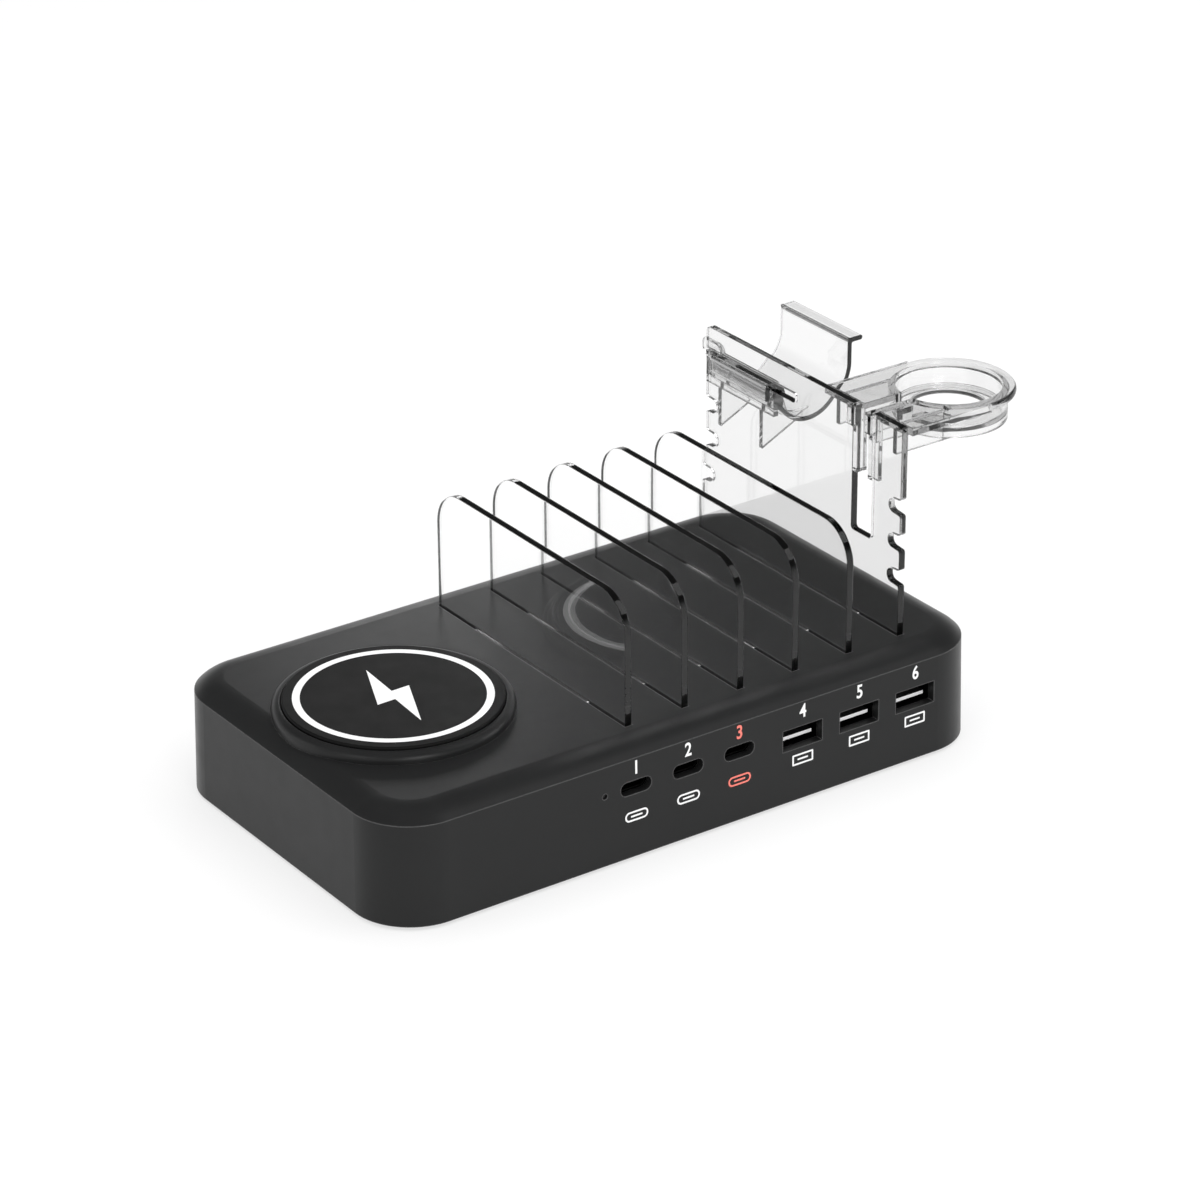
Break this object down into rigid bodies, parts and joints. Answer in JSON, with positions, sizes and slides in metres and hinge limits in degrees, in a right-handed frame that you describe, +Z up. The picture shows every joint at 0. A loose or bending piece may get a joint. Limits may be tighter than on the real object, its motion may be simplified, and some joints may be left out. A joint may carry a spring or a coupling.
{
  "type": "charging station organizer",
  "caption": "Desktop charging station: a low domed housing with front USB ports and a round wireless pad, clear lift-out dividers, and a clear stand with an earbud trough and a watch ring.",
  "frame": {"origin": "on the desk, at the middle of the object's bounding box seen from above", "axes": "+X along the front to the right, towards the stand; +Y back from the ports; +Z up"},
  "size_m": [0.2188, 0.1102, 0.095],
  "materials": {
    "housing": "fine matte moulded charcoal",
    "housing_under": "matte moulded charcoal",
    "pad": "smooth soft-touch disc",
    "rubber": "matte rubber",
    "screw": "zinc plated steel",
    "clear": "polished clear acrylic",
    "port_shell": "dark plated steel",
    "port_white": "white moulded insulator",
    "port_black": "black moulded insulator",
    "light": "frosted clear",
    "inlet": "black moulded insulator",
    "contact": "nickel plated brass",
    "board": "green laminate",
    "copper": "enamelled copper winding",
    "ferrite": "sintered ferrite",
    "can": "sleeved can",
    "sink": "extruded fins"
  },
  "bodies": {
    "base": {"top_shell": "housing", "bottom_cover": "housing_under", "rubber_feet": "rubber", "case_screws": "screw", "charging_pad": "pad", "wireless_coil": "copper", "ferrite_plate": "ferrite", "wireless_board": "board", "main_board": "board", "board_screws": "screw", "usb_a_shell_1": "port_shell", "usb_a_tongue_1": "port_white", "usb_c_shell_1": "port_shell", "usb_c_tongue_1": "port_black", "usb_a_shell_2": "port_shell", "usb_a_tongue_2": "port_white", "usb_c_shell_2": "port_shell", "usb_c_tongue_2": "port_black", "usb_a_shell_3": "port_shell", "usb_a_tongue_3": "port_white", "usb_c_shell_3": "port_shell", "usb_c_tongue_3": "port_black", "light_pipe": "light", "status_led": "light", "ac_inlet": "inlet", "inlet_pins": "contact", "transformer_core": "ferrite", "transformer_winding": "copper", "bulk_capacitors": "can", "output_capacitors": "can", "choke": "copper", "heat_sink": "sink"},
    "divider_1": {"divider_1": "clear"},
    "divider_2": {"divider_2": "clear"},
    "divider_3": {"divider_3": "clear"},
    "divider_4": {"divider_4": "clear"},
    "divider_5": {"divider_5": "clear"},
    "stand": {"stand_panel": "clear"},
    "cradle": {"earbud_cradle": "clear"},
    "holder": {"watch_holder": "clear"}
  },
  "joints": [
    {"name": "divider_1_lift", "type": "slide", "parent": "base", "child": "divider_1", "axis": [0, 0, 1], "range_m": [0, 0.05]},
    {"name": "divider_2_lift", "type": "slide", "parent": "base", "child": "divider_2", "axis": [0, 0, 1], "range_m": [0, 0.05]},
    {"name": "divider_3_lift", "type": "slide", "parent": "base", "child": "divider_3", "axis": [0, 0, 1], "range_m": [0, 0.05]},
    {"name": "divider_4_lift", "type": "slide", "parent": "base", "child": "divider_4", "axis": [0, 0, 1], "range_m": [0, 0.05]},
    {"name": "divider_5_lift", "type": "slide", "parent": "base", "child": "divider_5", "axis": [0, 0, 1], "range_m": [0, 0.05]},
    {"name": "stand_lift", "type": "slide", "parent": "base", "child": "stand", "axis": [0, 0, 1], "range_m": [0, 0.05]},
    {"name": "cradle_slide", "type": "slide", "parent": "stand", "child": "cradle", "axis": [0, 1, 0], "range_m": [0, 0.036]},
    {"name": "holder_lift", "type": "slide", "parent": "stand", "child": "holder", "axis": [0, 0, 1], "range_m": [0, 0.026]}
  ]
}
